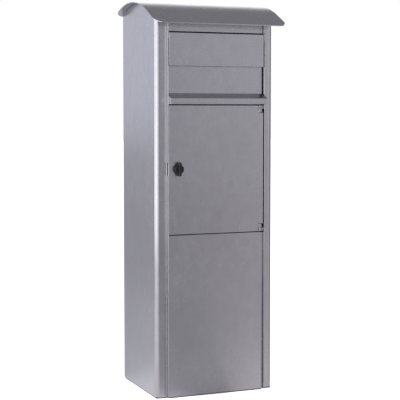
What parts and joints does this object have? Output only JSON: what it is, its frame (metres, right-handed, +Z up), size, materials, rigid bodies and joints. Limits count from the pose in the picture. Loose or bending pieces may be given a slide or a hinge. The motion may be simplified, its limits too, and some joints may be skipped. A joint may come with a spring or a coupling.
{
  "type": "parcel drop box",
  "caption": "Free-standing steel parcel drop box with an arched roof, a top-hung parcel hatch carrying a letter flap, a sprung drop gate and a lockable collection door.",
  "frame": {"origin": "middle of the bounding box, at the floor the box stands on", "axes": "+Z up, the front with its hatch and door faces -Y, +X to the viewer's right"},
  "size_m": [0.444, 0.386, 1.2456],
  "materials": {
    "outer_steel": "satin galvanised sheet",
    "inner_steel": "plain galvanised sheet, not polished",
    "zinc_steel": "zinc-plated hardware",
    "black_plastic": "moulded black plastic",
    "black_rubber": "matt rubber",
    "base_steel": "dark primed steel"
  },
  "bodies": {
    "cabinet": {"side_shell_left": "outer_steel", "side_shell_right": "outer_steel", "back_panel": "inner_steel", "base_plate": "base_steel", "lower_panel": "outer_steel", "header_panel": "outer_steel", "roof_sheet": "outer_steel", "roof_bearer_front": "zinc_steel", "roof_bearer_rear": "zinc_steel", "compartment_floor": "inner_steel", "door_frame": "inner_steel", "mid_rail": "inner_steel", "chute_plate": "inner_steel", "guard_comb": "zinc_steel", "gate_rod": "zinc_steel", "gate_bracket_left": "zinc_steel", "gate_bracket_right": "zinc_steel", "gate_spring": "zinc_steel", "hatch_rod": "zinc_steel", "pivot_plate_left": "zinc_steel", "pivot_plate_right": "zinc_steel", "hatch_bumper_left": "black_rubber", "hatch_bumper_right": "black_rubber", "door_bumper_lower": "black_rubber", "door_bumper_upper": "black_rubber", "hinge_bracket_lower": "zinc_steel", "hinge_bracket_upper": "zinc_steel"},
    "door": {"door_panel": "outer_steel", "door_stiffener": "zinc_steel", "door_knuckle_lower": "zinc_steel", "door_knuckle_upper": "zinc_steel", "lock_escutcheon": "black_plastic", "lock_barrel": "zinc_steel", "lock_nut": "zinc_steel"},
    "lock_turn": {"lock_knob": "black_plastic", "lock_cam": "zinc_steel"},
    "hatch": {"hatch_panel": "outer_steel", "grip_rail": "outer_steel", "grip_end_left": "outer_steel", "grip_end_right": "outer_steel", "hatch_ear_left": "zinc_steel", "hatch_ear_right": "zinc_steel", "hatch_spring": "zinc_steel", "flap_bumper_left": "black_rubber", "flap_bumper_right": "black_rubber"},
    "flap": {"letter_flap": "outer_steel"},
    "gate": {"drop_gate": "inner_steel"}
  },
  "joints": [
    {"name": "door_hinge", "type": "hinge", "parent": "cabinet", "child": "door", "pos_m": [0.1515, -0.137, 0.717], "axis": [0, 0, 1], "range_deg": [0, 105]},
    {"name": "lock_turn_joint", "type": "hinge", "parent": "door", "child": "lock_turn", "pos_m": [-0.131, -0.1445, 0.7195], "axis": [0, -1, 0], "range_deg": [0, 90]},
    {"name": "hatch_hinge", "type": "hinge", "parent": "cabinet", "child": "hatch", "pos_m": [0, -0.139, 1.1343], "axis": [-1, 0, 0], "range_deg": [0, 60], "stiffness_Nm_per_rad": 0.3, "springref_deg": -57.3},
    {"name": "flap_hinge", "type": "hinge", "parent": "hatch", "child": "flap", "pos_m": [0, -0.139, 1.1343], "axis": [-1, 0, 0], "range_deg": [0, 45]},
    {"name": "gate_hinge", "type": "hinge", "parent": "cabinet", "child": "gate", "pos_m": [0, 0.168, 0.8699], "axis": [1, 0, 0], "range_deg": [0, 70], "stiffness_Nm_per_rad": 0.25, "springref_deg": -126.05}
  ]
}
